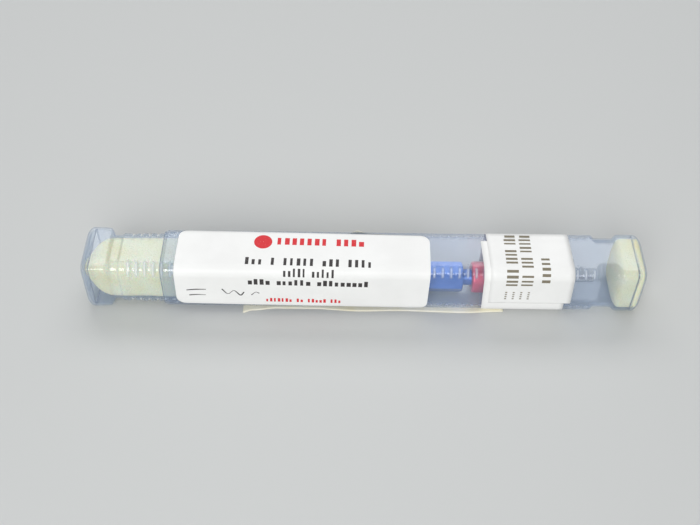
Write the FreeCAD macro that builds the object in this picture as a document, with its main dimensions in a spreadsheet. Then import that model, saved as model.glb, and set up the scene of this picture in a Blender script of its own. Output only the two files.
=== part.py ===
import FreeCAD, Part
import math
import os

import Sketcher

# A reversible pin gauge in the telescoping square tube it is sold and stored in.
# X runs along the tube, Z is up, and the tube lies on the plane Z = 0.
# The origin is below the middle of the outer sleeve. All sizes are in millimetres.

doc = FreeCAD.newDocument("pin_gauge")
sheet = doc.addObject("Spreadsheet::Sheet", "Sizes")

driving = {
    # square tube
    "side": 15.0,               # flat to flat, outside the outer sleeve
    "outer_length": 122.3,
    "outer_corner": 2.6,        # outside corner radius
    "outer_wall": 0.45,
    "sleeve_gap": 0.12,         # running clearance between the sleeves
    "inner_length": 64.0,
    "inner_wall": 0.45,
    # ratchet in the corners
    "rib_pitch": 2.1,
    "rib_crest": 0.4,           # width of a ridge at its top
    "rib_foot": 1.76,           # and at its foot
    "rib_rise": 0.22,           # height of the outer sleeve's ribs
    "tooth_rise": 0.3,          # height of the inner sleeve's teeth
    "outer_bevel": 1.3,         # leg of the bevel in the outer sleeve's inside corners
    "rib_start": 4.2,           # first rib behind the mouth
    "tooth_start": 13.4,        # first tooth from the bulb's end
    # closed end of the outer sleeve
    "end_round": 1.7,
    "end_corner": 2.1,
    "end_section": 6.6,         # full-size stretch at the closed end
    "groove_length": 5.4,       # length of the sunk corners before it
    "groove_corner": 4.3,
    "groove_bevel": 2.6,        # the bevel inside, at the sunk corners
    "end_bevel": 1.1,           # and beyond them
    "groove_slope": 1.0,
    # blown bulb and neck of the inner sleeve
    "bulb_length": 6.6,
    "bulb_bevel": 0.75,         # leg of the bevel along the bulb's corners
    "bulb_end": 8.6,            # width of the bulb's flat end
    "bulb_end_bevel": 1.6,
    "bulb_dome": 2.6,           # length over which the end rounds off
    "neck_length": 1.6,
    "neck_slope": 0.9,
    "neck_side": 13.3,
    "neck_bevel": 1.9,
    # foam plugs
    "foam_gap": 0.25,
    "foam_left_length": 25.4,
    "foam_right_length": 8.0,
    "foam_end": 5.0,            # width of the squeezed end of a plug
    "foam_end_bevel": 1.0,
    "foam_dome": 5.9,
    "foam_bore": 2.2,           # diameter of the hole that the GO pin has made
    # paper labels
    "paper": 0.1,
    "glue": 0.02,
    "main_length": 63.5,
    "main_height": 25.4,
    "main_start": 3.6,          # from the mouth of the outer sleeve
    "main_top": 11.8,           # reach over the top face, from the front plane
    "main_round": 2.4,
    "wrap_length": 20.9,
    "wrap_start": 81.8,
    "wrap_shift": 0.9,          # the second turn starts this much further along
    "wrap_drop": 3.6,           # free edge of the second turn, above the bottom face
    "under_length": 67.0,
    "under_start": 20.0,
    "under_back": 6.0,
    "under_front": 7.3,
    "under_wave": 0.35,
    "under_corner": 1.1,        # how far the torn corner stands out further
    "rear_length": 27.0,
    "rear_start": 36.0,
    "rear_low": 3.0,
    "rear_high": 12.6,
    "rear_tip": 1.3,
    # the gauge
    "handle_flats": 7.1,
    "handle_length": 38.1,
    "handle_chamfer": 0.35,     # length of the chamfer at the corners of the hexagon
    "nut_diameter": 8.1,
    "nut_length": 12.0,
    "nut_nose": 4.6,            # diameter of the small end
    "nut_taper": 3.4,
    "nut_edge": 0.4,
    "spigot_length": 8.8,       # neck and thread beyond the hexagon
    "spigot_diameter": 4.8,
    "relief_length": 2.3,       # plain neck between hexagon and nut
    "relief_diameter": 4.2,
    "collet_diameter": 3.5,
    "collet_length": 15.6,
    "collet_depth": 3.8,        # how deep it sits inside the hexagon
    "collet_head": 2.2,         # length of its cone
    "collet_slot": 0.3,
    "slot_length": 8.0,
    "turning_gap": 0.1,         # nut on spigot, nut on collet, collet in handle
    "pin_gap": 0.05,            # pin in collet
    "rest_gap": 0.1,            # nut above the inner sleeve's floor
    "pin_length": 50.8,
    "pin_chamfer": 0.15,
    "go_diameter": 1.791,
    "nogo_diameter": 1.803,
    "go_reach": 25.4,           # pin beyond its nut
    "nogo_reach": 19.6,
    "tip_gap": 3.4,             # free space between the NO-GO pin and the right plug
    "go_sunk": 7.4,             # how deep the GO pin sits in the left plug
}
for row, (name, value) in enumerate(driving.items(), start=1):
    sheet.set(f"A{row}", name)
    sheet.set(f"B{row}", str(value))
    sheet.setAlias(f"B{row}", name)
doc.recompute()

# Lengths worked out from the driving ones, as expressions.
axis_height = "(Sizes.side / 2 + 2 * (Sizes.paper + Sizes.glue))"
mouth = "(-Sizes.outer_length / 2)"
closed_end = "(Sizes.outer_length / 2)"
cavity = "(Sizes.side - 2 * Sizes.outer_wall)"
inner_side = f"({cavity} - 2 * Sizes.sleeve_gap)"
# Distances of the bevelled corners' faces from the tube's axis, and the leg of such a bevel.
outer_root = f"(({cavity} - Sizes.outer_bevel) / sqrt(2))"
rib_top = f"({outer_root} - Sizes.rib_rise)"
tooth_top = f"({rib_top} - Sizes.sleeve_gap)"
tooth_root = f"({tooth_top} - Sizes.tooth_rise)"
inner_bevel = f"({inner_side} - sqrt(2) * {tooth_root})"
nut_end = "(Sizes.relief_length + Sizes.nut_length)"
# The ratchet closes on the contents, so these stack up from the closed end.
plug_back = f"({closed_end} - Sizes.outer_wall - Sizes.foam_gap)"
nogo_tip = f"({plug_back} - Sizes.foam_right_length - Sizes.tip_gap)"
nogo_face = f"({nogo_tip} - Sizes.nogo_reach - {nut_end})"
go_face = f"({nogo_face} - Sizes.handle_length)"
go_tip = f"({go_face} - {nut_end} - Sizes.go_reach)"
left_plug_end = f"({go_tip} + Sizes.go_sunk)"
left_plug_start = f"({left_plug_end} - Sizes.foam_left_length)"
inner_end = f"({left_plug_start} - Sizes.foam_gap - Sizes.inner_wall)"
inner_mouth = f"({inner_end} + Sizes.inner_length)"
inner_cavity = f"({inner_side} - 2 * Sizes.inner_wall)"
bevel_offset = "(2 - sqrt(2))"   # a bevelled wall offset by 1 shortens the bevel's leg by this
groove_end = f"({closed_end} - Sizes.end_section)"
groove_start = f"({groove_end} - Sizes.groove_length)"
gauge_height = (
    f"({axis_height} - {inner_cavity} / 2 + Sizes.rest_gap + Sizes.nut_diameter / 2)"
)
nut_bore = "(Sizes.spigot_diameter / 2 + Sizes.turning_gap)"
collet_end = "(Sizes.collet_length - Sizes.collet_depth)"
pin_hole = "(Sizes.nogo_diameter / 2 + Sizes.pin_gap)"


def newBody(name):
    body = doc.addObject("PartDesign::Body", name)
    body.Label = name
    return body


def plane(body, role):
    return next(f for f in body.Origin.OriginFeatures if f.Role == role)


def newSketch(body, name, role, along="0", up="0", out="0"):
    """Sketch on a plane of the body's own origin, moved by three expressions."""
    sketch = body.newObject("Sketcher::SketchObject", name)
    sketch.AttachmentSupport = [(plane(body, role), "")]
    sketch.MapMode = "FlatFace"
    sketch.setExpression("AttachmentOffset.Base.x", along)
    sketch.setExpression("AttachmentOffset.Base.y", up)
    sketch.setExpression("AttachmentOffset.Base.z", out)
    return sketch


def bind(sketch, kind, arguments, value, expression, name):
    """Adds a dimension and ties it to an expression."""
    index = sketch.addConstraint(Sketcher.Constraint(kind, *arguments, value))
    sketch.renameConstraint(index, name)
    sketch.setExpression("Constraints." + name, expression)


def roundedSquare(body, name, station, width, corner):
    """Square with round corners across the tube, at a station along X."""
    sketch = newSketch(body, name, "YZ_Plane", out=station)
    half, radius = 6.0, 1.0
    flat = half - radius
    for turn in range(4):
        spin = FreeCAD.Rotation(FreeCAD.Vector(0, 0, 1), 90 * turn)
        start = spin.multVec(FreeCAD.Vector(-flat, -half, 0))
        end = spin.multVec(FreeCAD.Vector(flat, -half, 0))
        centre = spin.multVec(FreeCAD.Vector(flat, -flat, 0))
        angle = math.pi / 2 * (turn - 1)
        circle = Part.Circle(centre, FreeCAD.Vector(0, 0, 1), radius)
        sketch.addGeometry(Part.LineSegment(start, end), False)
        sketch.addGeometry(Part.ArcOfCircle(circle, angle, angle + math.pi / 2), False)
    for edge in range(8):
        sketch.addConstraint(Sketcher.Constraint("Tangent", edge, 2, (edge + 1) % 8, 1))
    for edge, kind in ((0, "Horizontal"), (4, "Horizontal"), (2, "Vertical"), (6, "Vertical")):
        sketch.addConstraint(Sketcher.Constraint(kind, edge))
    for edge in (3, 5, 7):
        sketch.addConstraint(Sketcher.Constraint("Equal", 1, edge))
    sketch.addConstraint(Sketcher.Constraint("Symmetric", 0, 1, 4, 1, -1, 1))
    bind(sketch, "Radius", (1,), radius, corner, "corner")
    bind(sketch, "DistanceX", (6, 1, 2, 1), 2 * half, width, "width")
    bind(sketch, "DistanceY", (0, 1, 4, 1), 2 * half, width, "height")
    return sketch


def bevelledSquare(body, name, station, width, leg):
    """Square with bevelled corners across the tube, at a station along X."""
    sketch = newSketch(body, name, "YZ_Plane", out=station)
    half, cut = 6.0, 1.0
    corners = []
    for turn in range(4):
        spin = FreeCAD.Rotation(FreeCAD.Vector(0, 0, 1), 90 * turn)
        corners.append(spin.multVec(FreeCAD.Vector(cut - half, -half, 0)))
        corners.append(spin.multVec(FreeCAD.Vector(half - cut, -half, 0)))
    for edge in range(8):
        sketch.addGeometry(Part.LineSegment(corners[edge], corners[(edge + 1) % 8]), False)
    for edge in range(8):
        sketch.addConstraint(Sketcher.Constraint("Coincident", edge, 2, (edge + 1) % 8, 1))
    for edge, kind in ((0, "Horizontal"), (4, "Horizontal"), (2, "Vertical"), (6, "Vertical")):
        sketch.addConstraint(Sketcher.Constraint(kind, edge))
    sketch.addConstraint(Sketcher.Constraint("Symmetric", 0, 1, 4, 1, -1, 1))
    bind(sketch, "DistanceX", (6, 1, 2, 1), 2 * half, width, "width")
    bind(sketch, "DistanceY", (0, 1, 4, 1), 2 * half, width, "height")
    for edge, first, second in ((1, 1, 2), (3, 2, 1), (5, 2, 1), (7, 1, 2)):
        bind(sketch, "DistanceX", (edge, first, edge, second), cut, leg, f"across_{edge}")
    for edge, first, second in ((1, 1, 2), (3, 1, 2), (5, 2, 1), (7, 2, 1)):
        bind(sketch, "DistanceY", (edge, first, edge, second), cut, leg, f"up_{edge}")
    return sketch


def loft(body, kind, name, sections):
    """Ruled loft through squares given as (shape, station, width, corner radius or bevel)."""
    sketches = [
        shape(body, f"{name}_section_{i}", *section) for i, (shape, *section) in enumerate(sections)
    ]
    feature = body.newObject("PartDesign::" + kind, name)
    feature.Profile = sketches[0]
    feature.Sections = sketches[1:]
    feature.Ruled = True
    body.Tip = feature
    return feature


def inset(sections, wall):
    """The same bevelled sections moved inwards by a wall."""
    return [
        (shape, at, f"({width} - 2 * {wall})", f"({bevel} - {wall} * {bevel_offset})")
        for shape, at, width, bevel in sections
    ]


def edgesIn(shape, test):
    """Names of the edges whose both ends pass a test."""
    return [
        f"Edge{i}" for i, edge in enumerate(shape.Edges, start=1)
        if all(test(vertex.Point) for vertex in edge.Vertexes)
    ]


def dress(body, kind, name, edges, size, expression):
    """Fillet or chamfer on named edges of the body's tip."""
    base = body.Tip
    feature = body.newObject("PartDesign::" + kind, name)
    feature.Base = (base, edges)
    setattr(feature, size, 0.1)
    feature.setExpression(size, expression)
    body.Tip = feature
    return feature


def value(expression):
    """Present value of an expression of the sheet."""
    return float(sheet.evalExpression(expression))


def outline(body, name, points, role="XZ_Plane", **offsets):
    """Closed polygon whose corners are pairs of expressions."""
    sketch = newSketch(body, name, role, **offsets)
    count = len(points)
    places = [FreeCAD.Vector(value(x), value(y), 0) for x, y in points]
    for i in range(count):
        sketch.addGeometry(Part.LineSegment(places[i], places[(i + 1) % count]), False)
    for i in range(count):
        sketch.addConstraint(Sketcher.Constraint("Coincident", i, 2, (i + 1) % count, 1))
    for i, (x, y) in enumerate(points):
        bind(sketch, "DistanceX", (-1, 1, i, 1), places[i].x, x, f"across_{i}")
        bind(sketch, "DistanceY", (-1, 1, i, 1), places[i].y, y, f"height_{i}")
    return sketch


def turned(body, name, points):
    """Solid of revolution about the body's X axis, from a half section."""
    feature = body.newObject("PartDesign::Revolution", name)
    feature.Profile = outline(body, name + "_section", points)
    feature.ReferenceAxis = (plane(body, "X_Axis"), [""])
    feature.Angle = 360
    body.Tip = feature
    return feature


def ratchet(body, name, first, count, top, foot, width):
    """Ridges across all four corners: one bar with sloping flanks, then repeated.

    The bar's section lies in the diagonal plane through the tube's axis.
    """
    half_foot = "(Sizes.rib_foot / 2)"
    sketch = outline(body, name + "_section", [
        (f"({first} - {half_foot})", foot),
        (f"({first} - Sizes.rib_crest / 2)", top),
        (f"({first} + Sizes.rib_crest / 2)", top),
        (f"({first} + {half_foot})", foot),
    ])
    sketch.AttachmentOffset = FreeCAD.Placement(
        FreeCAD.Vector(0, 0, 0), FreeCAD.Rotation(FreeCAD.Vector(1, 0, 0), 45))
    ridge = body.newObject("PartDesign::Pad", name)
    ridge.Profile = sketch
    ridge.Midplane = True
    ridge.setExpression("Length", width)
    body.Tip = ridge
    doc.recompute()
    pattern = body.newObject("PartDesign::MultiTransform", name + "_pattern")
    pattern.Originals = [ridge]
    row = body.newObject("PartDesign::LinearPattern", name + "_row")
    row.Direction = (plane(body, "X_Axis"), [""])
    row.setExpression("Length", f"({count} - 1) * Sizes.rib_pitch")
    row.setExpression("Occurrences", count)
    corners = body.newObject("PartDesign::PolarPattern", name + "_corners")
    corners.Axis = (plane(body, "X_Axis"), [""])
    corners.Angle = 360
    corners.Occurrences = 4
    pattern.Transformations = [row, corners]
    body.Tip = pattern
    return pattern


def place(body, x="0", y="0", z="0"):
    for name, expression in zip("xyz", (x, y, z)):
        body.setExpression(f"Placement.Base.{name}", expression)


def makeOuterSleeve():
    """Blown square sleeve, open at the mouth, with sunk corners near its closed end."""
    body = newBody("outer_sleeve")
    floor = f"({closed_end} - Sizes.outer_wall)"
    # the floor's edge is bevelled: a sharp one would come through the outer round
    edge = f"((Sizes.end_round - Sizes.outer_wall) * {bevel_offset})"
    stations = (mouth, f"({groove_start} - Sizes.groove_slope)", groove_start,
                f"({groove_end} - Sizes.groove_slope)", groove_end)
    corners = ("outer_corner", "outer_corner", "groove_corner", "groove_corner", "end_corner")
    bevels = ("outer_bevel", "outer_bevel", "groove_bevel", "groove_bevel", "end_bevel")
    loft(body, "AdditiveLoft", "outside", [
        (roundedSquare, at, "Sizes.side", "Sizes." + corner)
        for at, corner in zip((*stations, closed_end), (*corners, "end_corner"))
    ])
    loft(body, "SubtractiveLoft", "inside", [
        *((bevelledSquare, at, cavity, "Sizes." + bevel) for at, bevel in zip(stations, bevels)),
        (bevelledSquare, f"({floor} - {edge})", cavity, "Sizes.end_bevel"),
        (bevelledSquare, floor, f"({cavity} - 2 * {edge})", "Sizes.end_bevel"),
    ])
    doc.recompute()
    rim = edgesIn(body.Tip.Shape, lambda point: abs(point.x - value(closed_end)) < 1e-6)
    dress(body, "Fillet", "end_rounding", rim, "Radius", "Sizes.end_round")
    run = f"({groove_start} - Sizes.groove_slope - {mouth} - Sizes.rib_start)"
    count = f"floor({run} / Sizes.rib_pitch)"
    bevel_width = f"(sqrt(2) * (Sizes.outer_bevel + sqrt(2) * Sizes.rib_rise))"
    ratchet(body, "ribs", f"({mouth} + Sizes.rib_start)", count, rib_top,
            f"({outer_root} + Sizes.outer_wall / 4)", f"({bevel_width} + Sizes.outer_wall / 4)")
    place(body, z=axis_height)
    return body


def domed(start, depth, end_width, full_width, end_bevel, full_bevel):
    """Sections of an elliptical dome, from its flat end to its full width."""
    sections = []
    for angle in (90, 60, 30, 0):
        along = round(1 - math.sin(math.radians(angle)), 4)
        grow = round(math.cos(math.radians(angle)), 4)
        sections.append((
            bevelledSquare,
            f"({start} + {along} * {depth})",
            f"({end_width} + {grow} * ({full_width} - {end_width}))",
            f"({end_bevel} + {grow} * ({full_bevel} - {end_bevel}))",
        ))
    return sections


def makeInnerSleeve():
    """Blown inner sleeve with a closed bulb, a neck and toothed corners."""
    body = newBody("inner_sleeve")
    bulb_end = f"({inner_end} + Sizes.bulb_length)"
    neck_start = f"({bulb_end} + Sizes.neck_slope)"
    neck_end = f"({neck_start} + Sizes.neck_length)"
    neck = ("Sizes.neck_side", "Sizes.neck_bevel")
    rest = [
        (bevelledSquare, bulb_end, "Sizes.side", "Sizes.bulb_bevel"),
        (bevelledSquare, neck_start, *neck),
        (bevelledSquare, neck_end, *neck),
        (bevelledSquare, f"({neck_end} + Sizes.neck_slope)", inner_side, inner_bevel),
        (bevelledSquare, inner_mouth, inner_side, inner_bevel),
    ]
    dome = ("Sizes.bulb_end", "Sizes.side", "Sizes.bulb_end_bevel", "Sizes.bulb_bevel")
    bulb = domed(inner_end, "Sizes.bulb_dome", *dome)
    loft(body, "AdditiveLoft", "outside", bulb + rest)
    hollow = domed(f"({inner_end} + Sizes.inner_wall)",
                   "(Sizes.bulb_dome - Sizes.inner_wall)", *dome)
    loft(body, "SubtractiveLoft", "inside", inset(hollow + rest, "Sizes.inner_wall"))
    run = "(Sizes.inner_length - Sizes.tooth_start)"
    ratchet(body, "teeth", f"({inner_end} + Sizes.tooth_start)",
            f"floor({run} / Sizes.rib_pitch)", tooth_top,
            f"({tooth_root} - Sizes.inner_wall / 4)",
            f"(sqrt(2) * ({inner_side} - sqrt(2) * {tooth_top}))")
    place(body, z=axis_height)
    return body


def makeFoamLeft():
    """Foam plug squeezed into the bulb, with the hole that the GO pin has made."""
    body = newBody("foam_left")
    clear = "(Sizes.inner_wall + Sizes.foam_gap)"
    width = f"(Sizes.neck_side - 2 * {clear})"
    bevel = f"(Sizes.neck_bevel - {clear} * {bevel_offset})"
    dome = domed(left_plug_start, "Sizes.foam_dome", "Sizes.foam_end", width,
                 "Sizes.foam_end_bevel", bevel)
    loft(body, "AdditiveLoft", "plug", dome + [(bevelledSquare, left_plug_end, width, bevel)])
    sketch = newSketch(body, "hole_circle", "YZ_Plane", out=left_plug_end,
                       up=f"({gauge_height} - {axis_height})")
    sketch.addGeometry(Part.Circle(FreeCAD.Vector(0, 0, 0), FreeCAD.Vector(0, 0, 1), 1.0), False)
    sketch.addConstraint(Sketcher.Constraint("Coincident", 0, 3, -1, 1))
    bind(sketch, "Diameter", (0,), 2.0, "Sizes.foam_bore", "bore")
    hole = body.newObject("PartDesign::Pocket", "pin_hole")
    hole.Profile = sketch
    hole.setExpression("Length", "(Sizes.go_sunk + Sizes.foam_gap)")
    body.Tip = hole
    place(body, z=axis_height)
    return body


def makeFoamRight():
    """Foam plug pressed into the closed end."""
    body = newBody("foam_right")
    end = plug_back
    start = f"({end} - Sizes.foam_right_length)"
    width = f"({cavity} - 2 * Sizes.foam_gap)"
    bevel = f"(Sizes.groove_bevel - Sizes.foam_gap * {bevel_offset})"
    loft(body, "AdditiveLoft", "plug", [
        (bevelledSquare, start, f"({width} - Sizes.foam_end)", bevel),
        (bevelledSquare, f"({start} + Sizes.end_round / 2)",
         f"({width} - Sizes.end_round / 2)", bevel),
        (bevelledSquare, f"({end} - Sizes.end_round)", width, bevel),
        (bevelledSquare, end, f"({width} - 2 * Sizes.end_round)", bevel),
    ])
    place(body, z=axis_height)
    return body


def bentStrip(body, name, station, lift, thickness, back, low):
    """Sketch of a strip over the top and front faces, bent round the corner between them.

    It stands off the sleeve by lift and ends at back on the top face and low on the front.
    """
    inside = f"(Sizes.side / 2 + {lift})"
    bend = f"(Sizes.outer_corner + {lift})"
    flat = "(Sizes.side / 2 - Sizes.outer_corner)"
    sketch = newSketch(body, name, "YZ_Plane", out=station)
    end, near, centre, foot = (value(each) for each in (back, inside, flat, low))
    far = near + value(thickness)
    corner = FreeCAD.Vector(-centre, centre, 0)
    up = FreeCAD.Vector(0, 0, 1)
    outer_arc = Part.ArcOfCircle(Part.Circle(corner, up, far - centre), math.pi / 2, math.pi)
    inner_arc = Part.ArcOfCircle(Part.Circle(corner, up, near - centre), math.pi / 2, math.pi)

    def line(y0, z0, y1, z1):
        return Part.LineSegment(FreeCAD.Vector(y0, z0, 0), FreeCAD.Vector(y1, z1, 0))

    for piece in (
        line(end, far, -centre, far),
        outer_arc,
        line(-far, centre, -far, foot),
        line(-far, foot, -near, foot),
        line(-near, foot, -near, centre),
        inner_arc,
        line(-centre, near, end, near),
        line(end, near, end, far),
    ):
        sketch.addGeometry(piece, False)
    for pair in ((0, 2, 1, 1), (1, 2, 2, 1), (5, 2, 4, 2), (6, 1, 5, 1)):
        sketch.addConstraint(Sketcher.Constraint("Tangent", *pair))
    for pair in ((2, 2, 3, 1), (3, 2, 4, 1), (6, 2, 7, 1), (7, 2, 0, 1), (1, 3, 5, 3)):
        sketch.addConstraint(Sketcher.Constraint("Coincident", *pair))
    for edge, kind in ((0, "Horizontal"), (3, "Horizontal"), (2, "Vertical"), (7, "Vertical")):
        sketch.addConstraint(Sketcher.Constraint(kind, edge))
    bind(sketch, "DistanceX", (5, 3, -1, 1), centre, flat, "corner_across")
    bind(sketch, "DistanceY", (-1, 1, 5, 3), centre, flat, "corner_up")
    bind(sketch, "Radius", (5,), near - centre, bend, "bend")
    bind(sketch, "Radius", (1,), far - centre, f"({bend} + {thickness})", "outer_bend")
    bind(sketch, "DistanceX", (-1, 1, 7, 1), end, back, "back_edge")
    bind(sketch, "DistanceY", (-1, 1, 3, 1), foot, low, "low_edge")
    return sketch


def padUp(body, name, sketch, length):
    """Pad of a sketch along its normal, as the body's new tip."""
    pad = body.newObject("PartDesign::Pad", name)
    pad.Profile = sketch
    pad.setExpression("Length", length)
    body.Tip = pad
    return pad


def makeMainLabel():
    """White label over the top and front faces."""
    body = newBody("main_label")
    arc_length = "((Sizes.outer_corner + Sizes.glue) * pi / 2)"
    over_top = "(Sizes.main_top - Sizes.outer_corner)"
    low = (
        "(Sizes.side / 2 - Sizes.outer_corner"
        f" - (Sizes.main_height - {over_top} - {arc_length}))"
    )
    sketch = bentStrip(body, "bent_strip", f"({mouth} + Sizes.main_start)", "Sizes.glue",
                       "Sizes.paper", "(Sizes.main_top - Sizes.side / 2)", low)
    pad = padUp(body, "strip", sketch, "Sizes.main_length")
    doc.recompute()
    corners = [
        f"Edge{n}" for n, edge in enumerate(pad.Shape.Edges, start=1)
        if abs(edge.Length - value("Sizes.paper")) < 1e-6
    ]
    dress(body, "Fillet", "round_corners", corners, "Radius", "Sizes.main_round")
    place(body, z=axis_height)
    return body


def makeWrapLabel():
    """Sticker wound more than one turn: a closed ring, then the top and front again."""
    body = newBody("wrap_label")
    start = f"({mouth} + Sizes.wrap_start)"
    inner = "(Sizes.side + 2 * Sizes.glue)"
    corner = "(Sizes.outer_corner + Sizes.glue)"
    ring = roundedSquare(body, "ring_outside", start, f"({inner} + 2 * Sizes.paper)",
                         f"({corner} + Sizes.paper)")
    padUp(body, "ring", ring, "Sizes.wrap_length")
    hole = body.newObject("PartDesign::Pocket", "ring_hole")
    hole.Profile = roundedSquare(body, "ring_inside", start, inner, corner)
    hole.Reversed = True
    hole.setExpression("Length", "Sizes.wrap_length")
    body.Tip = hole
    # the second turn is pressed into the first by the thickness of the glue
    second = bentStrip(body, "second_strip", f"({start} + Sizes.wrap_shift)", "Sizes.paper",
                       "(Sizes.paper + Sizes.glue)", "(Sizes.side / 2 - Sizes.outer_corner)",
                       "(Sizes.wrap_drop - Sizes.side / 2)")
    padUp(body, "second_turn", second, "Sizes.wrap_length")
    place(body, z=axis_height)
    return body


def wavySheet(name, start, length, straight, waves, role, out):
    """Flat strip of paper whose one long edge is a smooth curve through points."""
    body = newBody(name)
    sketch = newSketch(body, "sheet", role, along=start, out=out)
    count = len(waves) - 1
    xs = [value(f"({length} * {i} / {count})") for i in range(count + 1)]
    ys = [value(w) for w in waves]
    edge = value(straight)
    curve = Part.BSplineCurve()
    curve.interpolate([FreeCAD.Vector(x, y, 0) for x, y in zip(xs, ys)])
    left, right = FreeCAD.Vector(xs[0], edge, 0), FreeCAD.Vector(xs[-1], edge, 0)
    sketch.addGeometry(curve, False)
    sketch.addGeometry(Part.LineSegment(FreeCAD.Vector(xs[-1], ys[-1], 0), right), False)
    sketch.addGeometry(Part.LineSegment(right, left), False)
    sketch.addGeometry(Part.LineSegment(left, FreeCAD.Vector(xs[0], ys[0], 0)), False)
    pad = body.newObject("PartDesign::Pad", "paper")
    pad.Profile = sketch
    pad.setExpression("Length", "Sizes.paper")
    body.Tip = pad
    return body


def makeUnderLabel():
    """Cream label under the tube, over the wrap; its loose front edge stands out."""
    waves = [
        "(-Sizes.under_front - Sizes.under_corner)",
        "(-Sizes.under_front + Sizes.under_wave)",
        "(-Sizes.under_front + Sizes.under_wave)",
        "(-Sizes.under_front - Sizes.under_wave)",
        "(-Sizes.under_front)",
        "(-Sizes.under_front - Sizes.under_wave)",
        "(-Sizes.under_front + Sizes.under_wave)",
    ]
    body = wavySheet("under_label", f"({mouth} + Sizes.under_start)", "Sizes.under_length",
                     "Sizes.under_back", waves, "XY_Plane", "0")
    place(body)
    return body


def makeRearLabel():
    """Old cream label on the back face; its loose tip stands up past the corner."""
    waves = [
        "(Sizes.rear_high - 1.2 * Sizes.rear_tip)",
        "(Sizes.rear_high)",
        "(Sizes.rear_high + Sizes.rear_tip)",
        "(Sizes.rear_high)",
        "(Sizes.rear_high - 0.8 * Sizes.rear_tip)",
    ]
    body = wavySheet("rear_label", f"({mouth} + Sizes.rear_start)", "Sizes.rear_length",
                     "Sizes.rear_low", waves, "XZ_Plane", "0")
    place(body, y="(Sizes.side / 2 + Sizes.glue + Sizes.paper)",
          z=f"({axis_height} - Sizes.side / 2)")
    return body


def makeHandle():
    """Hexagonal handle, bored right through, with a spigot and a collet socket at each end."""
    body = newBody("handle")
    length = "Sizes.handle_length"
    sketch = newSketch(body, "hexagon", "YZ_Plane")
    across = value("Sizes.handle_flats") / math.sqrt(3)
    corners = [
        FreeCAD.Vector(across * math.cos(math.radians(60 * i)), across * math.sin(math.radians(60 * i)), 0)
        for i in range(6)
    ]
    for i in range(6):
        sketch.addGeometry(Part.LineSegment(corners[i], corners[(i + 1) % 6]), False)
    ring = sketch.addGeometry(
        Part.Circle(FreeCAD.Vector(0, 0, 0), FreeCAD.Vector(0, 0, 1), across), True)
    for i in range(6):
        sketch.addConstraint(Sketcher.Constraint("Coincident", i, 2, (i + 1) % 6, 1))
        sketch.addConstraint(Sketcher.Constraint("PointOnObject", i, 1, ring))
    for i in range(1, 6):
        sketch.addConstraint(Sketcher.Constraint("Equal", 0, i))
    sketch.addConstraint(Sketcher.Constraint("Coincident", ring, 3, -1, 1))
    sketch.addConstraint(Sketcher.Constraint("Horizontal", 1))
    bind(sketch, "Radius", (ring,), across, "Sizes.handle_flats / sqrt(3)", "corner_circle")
    bar = body.newObject("PartDesign::Pad", "bar")
    bar.Profile = sketch
    bar.setExpression("Length", length)
    body.Tip = bar
    corner = "(Sizes.handle_flats / sqrt(3))"
    big = f"({corner} + 1)"
    flat = "(Sizes.handle_flats / 2)"
    slope = f"(Sizes.handle_chamfer / ({corner} - {flat}))"
    for name, face, sign in (("left", "0", 1), ("right", length, -1)):
        groove = body.newObject("PartDesign::Groove", name + "_chamfer")
        groove.Profile = outline(body, name + "_chamfer_section", [
            (face, flat),
            (f"({face} + {sign} * {slope} * ({big} - {flat}))", big),
            (face, big),
        ])
        groove.ReferenceAxis = (plane(body, "X_Axis"), [""])
        groove.Angle = 360
        body.Tip = groove
        spigot = body.newObject("PartDesign::Revolution", name + "_spigot")
        reach = "Sizes.spigot_length"
        neck, thread = "(Sizes.relief_diameter / 2)", "(Sizes.spigot_diameter / 2)"
        spigot.Profile = outline(body, name + "_spigot_section", [
            (f"({face} + {sign} * 1)", "0"),
            (f"({face} + {sign} * 1)", neck),
            (f"({face} - {sign} * Sizes.relief_length)", neck),
            (f"({face} - {sign} * (Sizes.relief_length + 0.3))", thread),
            (f"({face} - {sign} * {reach})", thread),
            (f"({face} - {sign} * {reach})", "0"),
        ])
        spigot.ReferenceAxis = (plane(body, "X_Axis"), [""])
        spigot.Angle = 360
        body.Tip = spigot
        socket = body.newObject("PartDesign::Groove", name + "_socket")
        bore = "(Sizes.collet_diameter / 2 + Sizes.turning_gap)"
        socket.Profile = outline(body, name + "_socket_section", [
            (f"({face} + {sign} * (Sizes.collet_depth + Sizes.turning_gap))", "0"),
            (f"({face} + {sign} * (Sizes.collet_depth + Sizes.turning_gap))", bore),
            (f"({face} - {sign} * ({reach} + 1))", bore),
            (f"({face} - {sign} * ({reach} + 1))", "0"),
        ])
        socket.ReferenceAxis = (plane(body, "X_Axis"), [""])
        socket.Angle = 360
        body.Tip = socket
    through = body.newObject("PartDesign::Groove", "pin_bore")
    clearance = f"({pin_hole} + Sizes.turning_gap)"
    through.Profile = outline(body, "pin_bore_section", [
        ("-1", "0"), ("-1", clearance), (f"({length} + 1)", clearance), (f"({length} + 1)", "0"),
    ])
    through.ReferenceAxis = (plane(body, "X_Axis"), [""])
    through.Angle = 360
    body.Tip = through
    place(body, x=go_face, z=gauge_height)
    return body


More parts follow.
